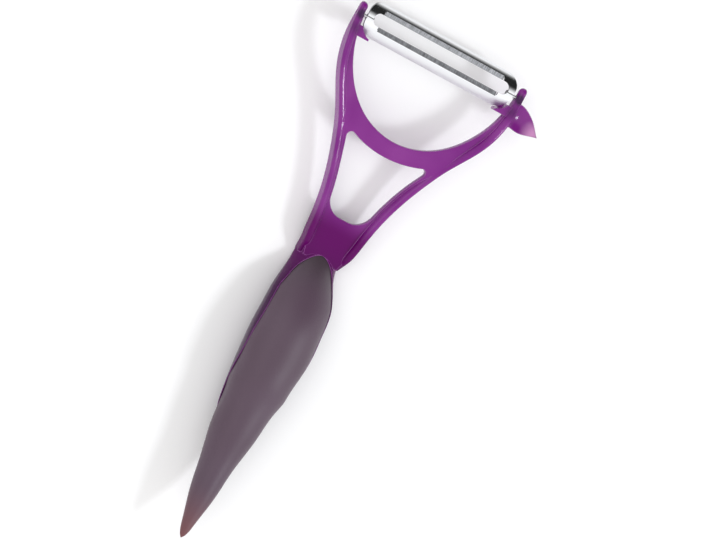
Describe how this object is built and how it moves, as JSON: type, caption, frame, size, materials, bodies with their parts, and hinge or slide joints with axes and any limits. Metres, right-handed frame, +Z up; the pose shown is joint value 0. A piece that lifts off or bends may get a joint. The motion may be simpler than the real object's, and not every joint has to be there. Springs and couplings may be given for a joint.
{
  "type": "vegetable peeler",
  "caption": "Y-shaped vegetable peeler with a swivelling slotted blade, a pointed eye remover on one arm and a soft tapered grip.",
  "frame": {"origin": "middle of the flat back that the peeler lies on", "axes": "+Y along the handle toward the blade, +X along the blade, +Z up out of the flat back, so the blade's front faces up"},
  "size_m": [0.0761, 0.189, 0.0211],
  "materials": {
    "purple_plastic": "moulded purple plastic with a satin gloss",
    "core_plastic": "plain moulded plastic, hidden",
    "soft_grip": "soft matt skin, dark plum grey",
    "blade_steel": "polished stainless sheet with ground lips",
    "pin_steel": "drawn stainless wire"
  },
  "bodies": {
    "handle": {"yoke_frame": "purple_plastic", "grip_core": "core_plastic", "grip_skin": "soft_grip"},
    "blade": {"peeling_blade": "blade_steel", "blade_pin_left": "pin_steel", "blade_pin_right": "pin_steel"}
  },
  "joints": [
    {"name": "blade_swivel", "type": "hinge", "parent": "handle", "child": "blade", "pos_m": [0, 0.103, 0.0135], "axis": [1, 0, 0], "range_deg": [-10, 18]}
  ]
}
